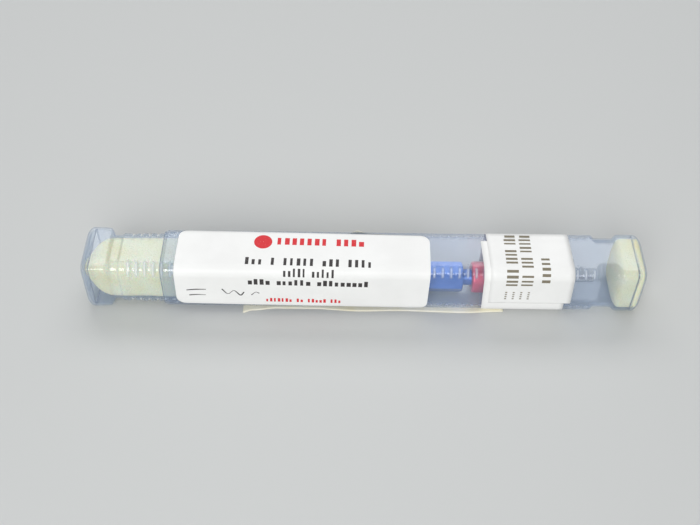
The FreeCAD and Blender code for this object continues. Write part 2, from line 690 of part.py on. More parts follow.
def makeNut(name):
    """Collet nut: bored for the spigot, with a cone inside that closes the collet."""
    body = newBody(name)
    outer = "(Sizes.nut_diameter / 2)"
    nose = "(Sizes.nut_nose / 2)"
    length = "Sizes.nut_length"
    edge = "Sizes.nut_edge"
    seat = f"({collet_end} - Sizes.relief_length)"      # tip of the collet, seen from the nut
    head = "(Sizes.collet_diameter / 2 + Sizes.turning_gap)"
    mouth_of_cone = f"({seat} - Sizes.collet_head)"
    exit_hole = f"({pin_hole} + 2 * Sizes.turning_gap)"
    turned(body, "turned_body", [
        ("0", nut_bore),
        ("0", f"({outer} - {edge})"),
        (edge, outer),
        (f"({length} - Sizes.nut_taper)", outer),
        (length, nose),
        (length, exit_hole),
        (f"({seat} + Sizes.turning_gap)", exit_hole),
        (mouth_of_cone, head),
        (f"({mouth_of_cone} - Sizes.turning_gap)", nut_bore),
    ])
    return body


def makeCollet(name):
    """Split collet: a tube with a cone at its outer end and crossed slots."""
    body = newBody(name)
    radius = "(Sizes.collet_diameter / 2)"
    length = "Sizes.collet_length"
    tip = f"({pin_hole} + 0.15)"
    turned(body, "tube", [
        ("0", pin_hole),
        ("0", radius),
        (f"({length} - Sizes.collet_head)", radius),
        (length, tip),
        (length, pin_hole),
    ])
    for number, role in enumerate(("XY_Plane", "XZ_Plane")):
        half = "(Sizes.collet_slot / 2)"
        slot = body.newObject("PartDesign::Pocket", f"slot_{number}")
        slot.Profile = outline(body, f"slot_section_{number}", [
            (f"({length} - Sizes.slot_length)", f"(-{half})"),
            (f"({length} + 1)", f"(-{half})"),
            (f"({length} + 1)", half),
            (f"({length} - Sizes.slot_length)", half),
        ], role=role)
        slot.Midplane = True
        slot.setExpression("Length", "(Sizes.collet_diameter + 1)")
        body.Tip = slot
    return body


def makePin(name, diameter):
    """Gauge pin with a small chamfer at both ends."""
    body = newBody(name)
    radius = f"({diameter} / 2)"
    edge = "Sizes.pin_chamfer"
    turned(body, "rod", [
        ("0", "0"),
        ("0", f"({radius} - {edge})"),
        (edge, radius),
        (f"(Sizes.pin_length - {edge})", radius),
        ("Sizes.pin_length", f"({radius} - {edge})"),
        ("Sizes.pin_length", "0"),
    ])
    return body


def turnAround(body):
    """Points the piece's X axis the other way, for the GO end."""
    body.Placement.Rotation = FreeCAD.Rotation(FreeCAD.Vector(0, 0, 1), 180)


parts = [
    makeOuterSleeve(), makeInnerSleeve(), makeFoamLeft(), makeFoamRight(),
    makeMainLabel(), makeWrapLabel(), makeUnderLabel(), makeRearLabel(), makeHandle(),
]
go_nut, nogo_nut = makeNut("go_nut"), makeNut("nogo_nut")
go_collet, nogo_collet = makeCollet("go_collet"), makeCollet("nogo_collet")
go_pin = makePin("go_pin", "Sizes.go_diameter")
nogo_pin = makePin("nogo_pin", "Sizes.nogo_diameter")
for piece in (go_nut, go_collet, go_pin):
    turnAround(piece)
place(go_nut, x=f"({go_face} - Sizes.relief_length)", z=gauge_height)
place(nogo_nut, x=f"({nogo_face} + Sizes.relief_length)", z=gauge_height)
place(go_collet, x=f"({go_face} + Sizes.collet_depth)", z=gauge_height)
place(nogo_collet, x=f"({nogo_face} - Sizes.collet_depth)", z=gauge_height)
place(go_pin, x=f"({go_tip} + Sizes.pin_length)", z=gauge_height)
place(nogo_pin, x=f"({nogo_tip} - Sizes.pin_length)", z=gauge_height)
parts += [go_nut, nogo_nut, go_collet, nogo_collet, go_pin, nogo_pin]

doc.recompute()
for thing in doc.Objects:
    if "Invalid" in thing.State or "Error" in thing.State:
        raise RuntimeError(f"{thing.Name} failed: {thing.State}")
os.makedirs("parts", exist_ok=True)
for part in parts:
    if part.Shape.isNull() or not part.Shape.isValid():
        raise RuntimeError(f"{part.Label} has no valid shape")
    part.Shape.exportStep(f"parts/{part.Label}.step")
    box = part.Shape.BoundBox
    print(f"{part.Label:14s} solids {len(part.Shape.Solids)} volume {part.Shape.Volume:9.2f} "
          f"x {box.XMin:7.2f}..{box.XMax:7.2f} y {box.YMin:6.2f}..{box.YMax:6.2f} "
          f"z {box.ZMin:6.2f}..{box.ZMax:6.2f}")
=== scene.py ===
import math

import bpy
import numpy as np
from mathutils import Matrix, Vector


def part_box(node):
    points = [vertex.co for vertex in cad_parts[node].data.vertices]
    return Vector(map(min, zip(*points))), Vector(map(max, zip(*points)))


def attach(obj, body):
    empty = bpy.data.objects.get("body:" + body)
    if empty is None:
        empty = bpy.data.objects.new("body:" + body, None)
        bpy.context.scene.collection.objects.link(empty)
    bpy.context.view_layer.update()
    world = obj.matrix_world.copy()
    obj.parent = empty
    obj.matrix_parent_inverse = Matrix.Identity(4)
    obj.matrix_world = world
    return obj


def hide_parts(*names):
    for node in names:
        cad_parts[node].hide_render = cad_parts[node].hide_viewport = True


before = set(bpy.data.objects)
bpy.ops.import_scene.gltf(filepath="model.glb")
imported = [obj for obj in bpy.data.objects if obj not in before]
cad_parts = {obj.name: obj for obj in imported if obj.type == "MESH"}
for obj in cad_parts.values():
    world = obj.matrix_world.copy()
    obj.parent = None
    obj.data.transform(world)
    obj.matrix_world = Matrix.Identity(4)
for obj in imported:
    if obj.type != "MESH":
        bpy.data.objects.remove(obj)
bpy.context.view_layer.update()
print("frame loaded")

# Lengths are in millimetres in the frame's axes, and turn into metres when a mesh is made.
mm = 0.001


def boxOf(node):
    low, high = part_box(node)
    return np.array(low) / mm, np.array(high) / mm


outerLow, outerHigh = boxOf("outer_sleeve")
innerLow, innerHigh = boxOf("inner_sleeve")
tube = {
    "mouth": outerLow[0],
    "end": outerHigh[0],
    "half": (outerHigh[1] - outerLow[1]) / 2,
    "height": (outerHigh[2] + outerLow[2]) / 2,
    "corner": 2.6,
    "wall": 0.45,
    "pitch": 2.1,
}


# Smooth steps between knots (place, value): t*t*(3 - 2t) of the way from one to the next.
def glide(x, knots):
    places, values = np.array(knots, float).T
    i = np.clip(np.searchsorted(places, x) - 1, 0, len(places) - 2)
    t = np.clip((x - places[i]) / (places[i + 1] - places[i]), 0, 1)
    t = t * t * (3 - 2 * t)
    return values[i] + (values[i + 1] - values[i]) * t


# Closed outline of a square with round corners, for arrays of half widths and corner radii.
# Each corner is a quarter circle about its own centre; straight points join it to the next.
def squareLoop(half, corner, arcSteps=8, flatSteps=8):
    signs = np.array([(1, 1), (-1, 1), (-1, -1), (1, -1)])
    sweep = np.linspace(0, np.pi / 2, arcSteps + 1)
    angle = np.arange(4)[:, None] * np.pi / 2 + sweep
    rim = np.stack([np.cos(angle), np.sin(angle)], axis=-1)
    centre = (half - corner)[:, None, None, None] * signs[:, None, :]
    arcs = centre + corner[:, None, None, None] * rim
    start = arcs[:, :, -1:]
    stop = np.roll(arcs[:, :, :1], -1, axis=1)
    share = np.linspace(0, 1, flatSteps + 1)[1:-1][:, None]
    flats = start + (stop - start) * share
    return np.concatenate([arcs, flats], axis=2).reshape(len(half), -1, 2)


# Point of the path round the tube, v along the path from the near upper corner's middle,
# down the front, under, up the back and over the top, at a height above the sleeve.
def roundTube(v, lift):
    half, corner = tube["half"], tube["corner"]
    flat = half - corner
    bend = math.pi / 4 * corner
    quarter = 2 * (flat + bend)
    side = np.floor(v / quarter)
    t = v - side * quarter
    first = np.clip(t, 0, bend) / corner
    second = np.clip(t - bend - 2 * flat, 0, bend) / corner
    down = np.clip(t - bend, 0, 2 * flat)
    angle = 0.75 * np.pi + first + second
    y = -flat + (corner + lift) * np.cos(angle)
    z = flat - down + (corner + lift) * np.sin(angle)
    turn = side * np.pi / 2
    return y * np.cos(turn) - z * np.sin(turn), y * np.sin(turn) + z * np.cos(turn)


# Quads between neighbours in a grid of vertex numbers.
def gridQuads(index):
    corners = index[:-1, :-1], index[:-1, 1:], index[1:, 1:], index[1:, :-1]
    return np.stack(corners, axis=-1).reshape(-1, 4)


# Mesh of quads over a grid of points; wrap joins the last column to the first.
def gridObject(name, points, wrap=False):
    rows, columns = points.shape[:2]
    index = np.arange(rows * columns).reshape(rows, columns)
    if wrap:
        index = np.concatenate([index, index[:, :1]], axis=1)
    return meshObject(name, points.reshape(-1, 3), gridQuads(index))


def meshObject(name, points, quads):
    mesh = bpy.data.meshes.new(name)
    mesh.from_pydata((points * mm).tolist(), [], quads.tolist())
    mesh.polygons.foreach_set("use_smooth", np.ones(len(mesh.polygons), bool))
    mesh.update()
    obj = bpy.data.objects.new(name, mesh)
    bpy.context.scene.collection.objects.link(obj)
    return obj


def finishPiece(obj, material, body, slot, *nodes):
    obj.data.materials.append(material)
    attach(obj, body)
    if nodes:
        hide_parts(*nodes)
    return obj


def thicken(obj, thickness, outward=1):
    solid = obj.modifiers.new("paper", "SOLIDIFY")
    solid.thickness = thickness * mm
    solid.offset = outward
    return obj


# Sum of sines with fixed phases, a soft lumpiness between -1 and 1.
def lumps(x, y, z, scale):
    a = np.sin(x * 1.7 / scale + 0.6) * np.cos(y * 1.3 / scale + 1.9)
    b = np.sin(y * 2.1 / scale - 1.1 + z * 0.9 / scale)
    c = np.cos(z * 1.6 / scale + x * 0.7 / scale + 2.7)
    return (a + b + c) / 3


def newMaterial(name):
    material = bpy.data.materials.new(name)
    material.use_nodes = True
    nodes, links = material.node_tree.nodes, material.node_tree.links
    return material, nodes, links, nodes["Principled BSDF"]


def objectSpace(nodes):
    return nodes.new("ShaderNodeTexCoord").outputs["Object"]


def noise(nodes, links, vector, scale, detail=4.0, roughness=0.55):
    node = nodes.new("ShaderNodeTexNoise")
    node.inputs["Scale"].default_value = scale
    node.inputs["Detail"].default_value = detail
    node.inputs["Roughness"].default_value = roughness
    links.new(vector, node.inputs["Vector"])
    return node.outputs["Fac"]


# Colour that goes between given stops as a value goes from 0 to 1.
def ramp(nodes, links, value, stops):
    node = nodes.new("ShaderNodeValToRGB")
    elements = node.color_ramp.elements
    for element, (at, colour) in zip(elements, stops[:2]):
        element.position, element.color = at, (*colour, 1)
    for at, colour in stops[2:]:
        elements.new(at).color = (*colour, 1)
    links.new(value, node.inputs["Fac"])
    return node.outputs["Color"]


def colourBy(nodes, links, shader, value, stops):
    links.new(ramp(nodes, links, value, stops), shader.inputs["Base Color"])


def bump(nodes, links, height, shader, strength, distance):
    node = nodes.new("ShaderNodeBump")
    node.inputs["Strength"].default_value = strength
    node.inputs["Distance"].default_value = distance * mm
    links.new(height, node.inputs["Height"])
    links.new(node.outputs["Normal"], shader.inputs["Normal"])
    return node.outputs["Normal"]


# Milky blown plastic: most light goes straight on, some is scattered by the haze,
# more of it at a slant, and the skin shines by Schlick's rule, 0.04 + 0.96 (1 - cos)^5.
def makePlastic():
    settings = {
        "haze": 0.062,
        # the rib haze and rib colour turn the cusps near white: partly the thicker plastic, partly
        # a painted highlight for the teeth's sparkle
        "ribHazeAndSparkle": 0.8,
        "slant": 0.5,
        "slantPower": 2.5,
        "scatter": 0.4,
        "hazeColour": (0.62, 0.76, 1.0),
        "ribWhiteAndSparkleColour": (0.97, 0.98, 1.0),
        "tint": (0.965, 0.98, 1.0),
        "roughness": 0.35,
        "gloss": 0.09,
        "headOn": 0.04,
        "grain": 900.0,
        "grainStrength": 0.12,
        "grainDepth": 0.05,
    }
    material, nodes, links, shader = newMaterial("milkyPlastic")
    vector = objectSpace(nodes)
    grain = noise(nodes, links, vector, settings["grain"], 3.0)
    shader.inputs["Roughness"].default_value = settings["roughness"]
    normal = bump(nodes, links, grain, shader, settings["grainStrength"], settings["grainDepth"])
    through = nodes.new("ShaderNodeBsdfTranslucent")
    scatter = nodes.new("ShaderNodeMixShader")
    scatter.inputs["Fac"].default_value = settings["scatter"]
    links.new(shader.outputs["BSDF"], scatter.inputs[1])
    links.new(through.outputs["BSDF"], scatter.inputs[2])
    clear = nodes.new("ShaderNodeBsdfTransparent")
    clear.inputs["Color"].default_value = (*settings["tint"], 1)
    facing = nodes.new("ShaderNodeLayerWeight")
    facing.inputs["Blend"].default_value = 0.5

    def slantPower(power, low, high):
        raised = nodes.new("ShaderNodeMath")
        raised.operation = "POWER"
        raised.inputs[1].default_value = power
        links.new(facing.outputs["Facing"], raised.inputs[0])
        spread = nodes.new("ShaderNodeMapRange")
        spread.inputs["To Min"].default_value = low
        spread.inputs["To Max"].default_value = high
        links.new(raised.outputs["Value"], spread.inputs["Value"])
        return spread.outputs["Result"]

    # the ribs are thicker, so they scatter more; their cusps are also whitened well past that, as
    # a painted highlight for the sparkle of the teeth
    ribHazeAndSparkleMask = nodes.new("ShaderNodeAttribute")
    ribHazeAndSparkleMask.attribute_name = "ribs"
    density = nodes.new("ShaderNodeMath")
    density.operation = "MULTIPLY_ADD"
    density.use_clamp = True
    density.inputs[1].default_value = settings["ribHazeAndSparkle"]
    links.new(ribHazeAndSparkleMask.outputs["Fac"], density.inputs[0])
    atSlant = settings["haze"] + settings["slant"]
    links.new(slantPower(settings["slantPower"], settings["haze"], atSlant), density.inputs[2])
    # near-white cusps: the thicker plastic's scatter and a painted highlight for the teeth's
    # sparkle
    ribWhiteAndSparkle = ramp(nodes, links, ribHazeAndSparkleMask.outputs["Fac"], [
        (0.0, settings["hazeColour"]), (0.8, settings["ribWhiteAndSparkleColour"]),
    ])
    links.new(ribWhiteAndSparkle, shader.inputs["Base Color"])
    links.new(ribWhiteAndSparkle, through.inputs["Color"])
    body = nodes.new("ShaderNodeMixShader")
    links.new(density.outputs["Value"], body.inputs["Fac"])
    links.new(clear.outputs["BSDF"], body.inputs[1])
    links.new(scatter.outputs["Shader"], body.inputs[2])
    shine = nodes.new("ShaderNodeBsdfGlossy")
    shine.inputs["Roughness"].default_value = settings["gloss"]
    links.new(normal, shine.inputs["Normal"])
    skin = nodes.new("ShaderNodeMixShader")
    links.new(slantPower(5.0, settings["headOn"], 1.0), skin.inputs["Fac"])
    links.new(body.outputs["Shader"], skin.inputs[1])
    links.new(shine.outputs["BSDF"], skin.inputs[2])
    links.new(skin.outputs["Shader"], nodes["Material Output"].inputs["Surface"])
    return material


# Cream foam: fine open pores over a slightly uneven, aged colour.
def makeFoam():
    settings = {
        "patches": 160.0,
        "dark": (0.98, 0.86, 0.46),
        "middle": (1.0, 0.94, 0.60),
        "light": (1.0, 0.97, 0.70),
        "roughness": 0.85,
        "glow": 0.25,
        "glowDepth": 0.001,
        "pores": 2200.0,
        "poreStrength": 0.8,
        "poreDepth": 0.25,
    }
    material, nodes, links, shader = newMaterial("creamFoam")
    vector = objectSpace(nodes)
    patches = noise(nodes, links, vector, settings["patches"], 3.0)
    colourBy(nodes, links, shader, patches, [
        (0.30, settings["dark"]), (0.72, settings["light"]), (0.5, settings["middle"]),
    ])
    shader.inputs["Roughness"].default_value = settings["roughness"]
    shader.inputs["Subsurface Weight"].default_value = settings["glow"]
    shader.inputs["Subsurface Scale"].default_value = settings["glowDepth"]
    pores = nodes.new("ShaderNodeTexVoronoi")
    pores.inputs["Scale"].default_value = settings["pores"]
    links.new(vector, pores.inputs["Vector"])
    depth = pores.outputs["Distance"]
    bump(nodes, links, depth, shader, settings["poreStrength"], settings["poreDepth"])
    return material


# Paper: a faint cloud of two shades, with a fine fibre bump.
def makePaper(name, light, dark, roughness=0.45):
    settings = {"cloud": 90.0, "fibre": 2600.0, "fibreStrength": 0.25, "fibreDepth": 0.03}
    material, nodes, links, shader = newMaterial(name)
    vector = objectSpace(nodes)
    cloud = noise(nodes, links, vector, settings["cloud"], 5.0)
    colourBy(nodes, links, shader, cloud, [(0.35, dark), (0.65, light)])
    shader.inputs["Roughness"].default_value = roughness
    fibre = noise(nodes, links, vector, settings["fibre"])
    bump(nodes, links, fibre, shader, settings["fibreStrength"], settings["fibreDepth"])
    return material


# Ink: one colour, a little faded in small specks.
def makeInk(name, colour):
    settings = {"specks": 3000.0, "fade": 0.2, "roughness": 0.6}
    material, nodes, links, shader = newMaterial(name)
    vector = objectSpace(nodes)
    specks = noise(nodes, links, vector, settings["specks"], 2.0)
    faded = tuple(0.75 * c + settings["fade"] for c in colour)
    colourBy(nodes, links, shader, specks, [(0.62, colour), (0.8, faded)])
    shader.inputs["Roughness"].default_value = settings["roughness"]
    return material


# Anodised aluminium: a coloured metal with fine turning or drawing lines.
def makeAnodised(name, colour, roughness):
    settings = {
        "wear": 350.0,
        "metallic": 0.45,
        "coat": 1.0,
        "coatRoughness": 0.22,
        "lines": 2400.0,
        "lineWander": 1.5,
        "lineStrength": 0.15,
        "lineDepth": 0.02,
    }
    material, nodes, links, shader = newMaterial(name)
    vector = objectSpace(nodes)
    wear = noise(nodes, links, vector, settings["wear"], 5.0)
    pale = tuple(min(1.0, 1.25 * c + 0.05) for c in colour)
    colourBy(nodes, links, shader, wear, [(0.45, colour), (0.75, pale)])
    shader.inputs["Metallic"].default_value = settings["metallic"]
    shader.inputs["Roughness"].default_value = roughness
    shader.inputs["Coat Weight"].default_value = settings["coat"]
    shader.inputs["Coat Roughness"].default_value = settings["coatRoughness"]
    lines = nodes.new("ShaderNodeTexWave")
    lines.inputs["Scale"].default_value = settings["lines"]
    lines.inputs["Distortion"].default_value = settings["lineWander"]
    links.new(vector, lines.inputs["Vector"])
    height = lines.outputs["Fac"]
    bump(nodes, links, height, shader, settings["lineStrength"], settings["lineDepth"])
    return material


# Bare metal: faint smears of a paler tone over a very fine grain.
def makeMetal(name, colour, roughness):
    settings = {"smears": 500.0, "grain": 4000.0, "grainStrength": 0.1, "grainDepth": 0.01}
    material, nodes, links, shader = newMaterial(name)
    vector = objectSpace(nodes)
    smears = noise(nodes, links, vector, settings["smears"])
    pale = tuple(min(1.0, 1.1 * c + 0.04) for c in colour)
    colourBy(nodes, links, shader, smears, [(0.4, colour), (0.7, pale)])
    shader.inputs["Metallic"].default_value = 1.0
    shader.inputs["Roughness"].default_value = roughness
    grain = noise(nodes, links, vector, settings["grain"])
    bump(nodes, links, grain, shader, settings["grainStrength"], settings["grainDepth"])
    return material


plastic = makePlastic()
foam = makeFoam()
whitePaper = makePaper("whitePaper", (0.95, 0.95, 0.93), (0.90, 0.90, 0.88))
creamPaper = makePaper("creamPaper", (0.98, 0.96, 0.85), (0.93, 0.88, 0.66), 0.6)
redInk = makeInk("redInk", (0.72, 0.02, 0.03))
blackInk = makeInk("blackInk", (0.035, 0.03, 0.03))
greyInk = makeInk("greyInk", (0.22, 0.19, 0.13))
blueMetal = makeAnodised("blueAnodised", (0.03, 0.15, 0.52), 0.32)
redMetal = makeAnodised("redAnodised", (0.80, 0.03, 0.10), 0.3)
greenMetal = makeAnodised("greenAnodised", (0.02, 0.35, 0.14), 0.3)
brass = makeMetal("turnedBrass", (0.62, 0.45, 0.20), 0.3)
steel = makeMetal("groundSteel", (0.62, 0.63, 0.65), 0.16)
print("materials made")


# Rings of a rounded blind end: a quarter circle at the rim, then a shallow parabola,
# dome times the square of the share of the way out, to just short of the middle.
# Gives distances back from the end and half widths, from the rim to the middle.
def blindEnd(half, radius, dome, rimSteps=10, faceSteps=8):
    angle = np.linspace(0, np.pi / 2, rimSteps + 1)
    rimBack = dome + radius * (1 - np.sin(angle))
    rimHalf = half - radius * (1 - np.cos(angle))
    share = np.linspace(1, 0.02, faceSteps + 1)[1:]
    faceHalf = (half - radius) * share
    return np.concatenate([rimBack, dome * share ** 2]), np.concatenate([rimHalf, faceHalf])


# A blown sleeve in one skin: from the middle of the blind end inside, along the inside
# to the mouth, over the lip and back outside. Each stretch is (x, half width, corner radius),
# and a corner radius stays just under its half width.
def sleevePoints(stretches, height, arcSteps, flatSteps):
    x, half, corner = (np.concatenate(row) for row in zip(*stretches))
    corner = np.minimum(corner, half * 0.98)
    loop = squareLoop(half, corner, arcSteps, flatSteps)
    x = np.repeat(x[:, None], loop.shape[1], axis=1)
    return np.stack([x, loop[..., 0], loop[..., 1] + height], axis=-1)


# Ratchet: arches |sin| of one pitch, fading in and out over a pitch at both ends of the run.
def ratchet(x, first, last):
    pitch = tube["pitch"]
    arches = np.abs(np.sin(np.pi * (x - first) / pitch))
    fade = glide(x, [(first, 0), (first + pitch, 1), (last - pitch, 1), (last, 0)])
    return arches * fade


# Half round lip from the inside to the outside skin at an open end. Toward is the way that
# the end faces: half the wall times (cos - 1) along x, and (sin + 1) / 2 of the way outward.
def lip(place, toward, halfInside, halfOutside, cornerInside, cornerOutside):
    angle = np.linspace(-np.pi / 2, np.pi / 2, 7)[1:-1]
    share = (np.sin(angle) + 1) / 2
    x = place + toward * (halfOutside - halfInside) / 2 * (np.cos(angle) - 1)
    half = halfInside + (halfOutside - halfInside) * share
    corner = cornerInside + (cornerOutside - cornerInside) * share
    return x, half, corner


# Attribute for the haze and for the painted highlight of the teeth's sparkle: full along the cusps
# between arches, only round the corners, over the given rows of a sleeve's grid. Every 12
# columns hold one corner and one flat, in the other order when turned is -1.
def markRibs(shell, x, rows, columns, first, last, turned=1):
    pitch = tube["pitch"]
    cusps = (1 - np.abs(np.sin(np.pi * (x - first) / pitch))) ** 2
    cusps = cusps * ((x > first - pitch / 2) & (x < last + pitch / 2))
    inCorner = np.array([0.0, 0.5, 1, 1, 1, 1, 1, 0.5, 0.0, 0, 0, 0])
    values = np.zeros((rows.stop - rows.start, columns))
    values += cusps[:, None] * np.tile(inCorner, 4)[::turned]
    total = np.zeros(len(shell.data.vertices))
    total[rows.start * columns:rows.stop * columns] = values.ravel()
    shell.data.attributes.new("ribs", "FLOAT", "POINT").data.foreach_set("value", total)


def makeOuterShell():
    settings = {
        "grooveStart": tube["end"] - 12.6,
        "grooveEnd": tube["end"] - 7.2,
        "grooveCorner": 4.4,
        "slope": 0.9,
        "endCorner": 2.1,
        "endRound": 2.3,
        "capCorner": 0.25,
        "dome": 0.5,
        "flare": 0.28,
        "flareLength": 1.1,
        "ribHeight": 0.85,
        "firstRib": tube["mouth"] + 3.2,
        "stations": 860,
    }
    start, end, slope = settings["grooveStart"], settings["grooveEnd"], settings["slope"]
    wall = tube["wall"]
    corners = [
        (tube["mouth"], tube["corner"]), (start - slope, tube["corner"]),
        (start, settings["grooveCorner"]), (end - slope, settings["grooveCorner"]),
        (end + slope / 2, settings["endCorner"]), (tube["end"], settings["endCorner"]),
    ]

    def outside(x):
        drawnIn = glide(x, [
            (tube["mouth"], settings["flare"]), (tube["mouth"] + settings["flareLength"], 0),
            (tube["end"], 0),
        ])
        return tube["half"] - drawnIn, glide(x, corners)

    def inside(x):
        half, corner = outside(x)
        ribs = ratchet(x, settings["firstRib"], start - slope)
        return half - wall, corner - wall + settings["ribHeight"] * ribs

    back, capHalf = blindEnd(tube["half"], settings["endRound"], settings["dome"])
    capX = tube["end"] - back
    capCorner = settings["endCorner"] + (tube["half"] - capHalf) * settings["capCorner"]
    run = np.linspace(tube["mouth"], capX[0], settings["stations"])
    halfIn, cornerIn = inside(run)
    halfOut, cornerOut = outside(run)
    points = sleevePoints([
        (capX[::-1] - wall, capHalf[::-1] - wall * capHalf[::-1] / tube["half"],
         capCorner[::-1] - wall),
        (run[::-1], halfIn[::-1], cornerIn[::-1]),
        lip(tube["mouth"], -1, halfIn[0], halfOut[0], cornerIn[0], cornerOut[0]),
        (run, halfOut, cornerOut),
        (capX, capHalf, capCorner),
    ], tube["height"], 8, 4)
    shell = gridObject("outerShell", points, wrap=True)
    inner = slice(len(capX), len(capX) + len(run))
    markRibs(shell, run[::-1], inner, points.shape[1], settings["firstRib"], start - slope)
    return finishPiece(shell, plastic, "outer_case", "clear_plastic", "outer_sleeve")


def makeInnerShell():
    settings = {
        "half": tube["half"] - tube["wall"] - 0.12,     # 0.12 of play between the sleeves
        "plainCorner": 2.9,
        "rootRise": 0.5,
        "toothHeight": 0.74,
        "bulbCorner": 1.3,
        "bulbEndCorner": 1.6,
        "bulbEase": 1.5,
        "bulbDraft": 0.05,
        "bulbEnd": innerLow[0] + 6.4,
        "neckStart": innerLow[0] + 7.7,
        "neckEnd": innerLow[0] + 9.2,
        "sleeveStart": innerLow[0] + 10.1,
        "neckHalf": 6.65,
        "neckCorner": 3.1,
        "endRound": 2.0,
        "capCorner": 0.5,
        "dome": 0.3,
        "firstTooth": innerLow[0] + 12.2,
        "wall": 0.45,
        "cornerShare": 0.8,     # of the wall, taken off the corner radius inside
        "capShare": 0.5,
        "stations": 900,
    }
    wall = settings["wall"]
    left, right = innerLow[0], innerHigh[0]
    halves = [
        (left, tube["half"]), (settings["bulbEnd"], tube["half"] - settings["bulbDraft"]),
        (settings["neckStart"], settings["neckHalf"]), (settings["neckEnd"], settings["neckHalf"]),
        (settings["sleeveStart"], settings["half"]), (right, settings["half"]),
    ]
    corners = [
        (left, settings["bulbCorner"]),
        (settings["bulbEnd"] - settings["bulbEase"], settings["bulbCorner"]),
        (settings["bulbEnd"], settings["bulbEndCorner"]),
        (settings["neckStart"], settings["neckCorner"]),
        (settings["neckEnd"], settings["neckCorner"]),
        (settings["sleeveStart"], settings["plainCorner"]), (right, settings["plainCorner"]),
    ]

    def outside(x):
        first = settings["firstTooth"]
        teeth = glide(x, [(first - 1, 0), (first, 1), (right, 1)])
        cut = settings["rootRise"] - settings["toothHeight"] * ratchet(x, first, right)
        return glide(x, halves), glide(x, corners) + teeth * cut

    back, capHalf = blindEnd(tube["half"], settings["endRound"], settings["dome"])
    capX = left + back
    capCorner = settings["bulbCorner"] + (tube["half"] - capHalf) * settings["capCorner"]
    run = np.linspace(capX[0], right, settings["stations"])
    halfOut, cornerOut = outside(run)
    halfIn, cornerIn = halfOut - wall, cornerOut - wall * settings["cornerShare"]
    points = sleevePoints([
        (capX[::-1] + wall, capHalf[::-1] - wall * capHalf[::-1] / tube["half"],
         capCorner[::-1] - wall * settings["capShare"]),
        (run, halfIn, cornerIn),
        lip(right, 1, halfIn[-1], halfOut[-1], cornerIn[-1], cornerOut[-1]),
        (run[::-1], halfOut[::-1], cornerOut[::-1]),
        (capX, capHalf, capCorner),
    ], tube["height"], 8, 4)
    shell = gridObject("innerShell", points[:, ::-1], wrap=True)
    outer = slice(len(points) - len(capX) - len(run), len(points) - len(capX))
    markRibs(shell, run[::-1], outer, points.shape[1], settings["firstTooth"], right, -1)
    return finishPiece(shell, plastic, "inner_case", "clear_plastic", "inner_sleeve")


makeOuterShell()
makeInnerShell()
print("sleeves made")


# A foam plug: rings of a rounded square whose half width grows by sin^(2/power) while x goes
# back by the dome times 1 - cos^(2/power), pulled in by soft lumps; the left end leans.
def makeFoamPlug(name, node, body, settings):
    low, high = boxOf(node)
    low[0] -= settings["reach"]
    power = settings["power"]
    turn = np.linspace(0, np.pi / 2, 26)
    back = 1 - np.cos(turn) ** (2 / power)
    rise = np.sin(turn) ** (2 / power)
    leftX = low[0] + settings["leftDome"] * back
    rightX = high[0] - settings["rightDome"] * back
    middle = np.linspace(leftX[-1], rightX[-1], 24)[1:-1]
    x = np.concatenate([leftX, middle, rightX[::-1]])
    swell = np.concatenate([rise, np.ones(len(middle)), rise[::-1]])
    half = settings["half"] * swell
    corner = np.minimum(settings["corner"] + (settings["half"] - half) * 0.5, half * 0.98)
    loop = squareLoop(half, corner, 8, 8)
    shape = (len(x), loop.shape[1])
    grid = np.broadcast_to(x[:, None], shape)
    wave = lumps(grid, loop[..., 0], loop[..., 1], settings["lumpSize"])
    loop = loop * (1 - settings["lump"] * (0.5 + 0.5 * wave))[..., None]
    lean = settings["lean"] * (1 - swell[:, None]) * (x < x.mean())[:, None]
    height = tube["height"] + lean
    points = np.stack([grid, loop[..., 0] - lean, loop[..., 1] + height], axis=-1)
    plug = gridObject(name, points, wrap=True)
    return finishPiece(plug, foam, body, "foam", node)


makeFoamPlug("foamPlugLeft", "foam_left", "inner_case", {
    "half": 6.15, "corner": 2.7, "leftDome": 7.2, "rightDome": 1.5, "power": 2.1,
    "lump": 0.05, "lumpSize": 2.6, "lean": 2.6, "reach": 0.15,
})
makeFoamPlug("foamPlugRight", "foam_right", "outer_case", {
    "half": 7.0, "corner": 2.4, "leftDome": 2.6, "rightDome": 1.2, "power": 2.6,
    "lump": 0.02, "lumpSize": 2.2, "lean": 0.0, "reach": -0.6,
})
print("foam made")


# Place (x, v) on the tube, turned by the label's small angle about its middle.
def labelPlace(x, v, settings):
    turn = math.radians(settings["turn"])
    across = x - settings["middle"]
    newX = settings["middle"] + across * math.cos(turn) - v * math.sin(turn)
    return newX, v * math.cos(turn) + across * math.sin(turn)


def onLabel(x, v, lift, settings):
    placedX, placedV = labelPlace(x, v, settings)
    y, z = roundTube(placedV, lift)
    return np.stack([placedX, y, z + tube["height"]], axis=-1)


mainLow, mainHigh = boxOf("main_label")
mainLabel = {
    "left": mainLow[0],
    "right": mainHigh[0] + 0.2,
    "middle": (mainLow[0] + mainHigh[0]) / 2,
    "up": -12.55,
    "down": 12.55,
    "turn": 1.1,
    "round": 2.4,
    "lift": 0.04,
    "paper": 0.09,
}


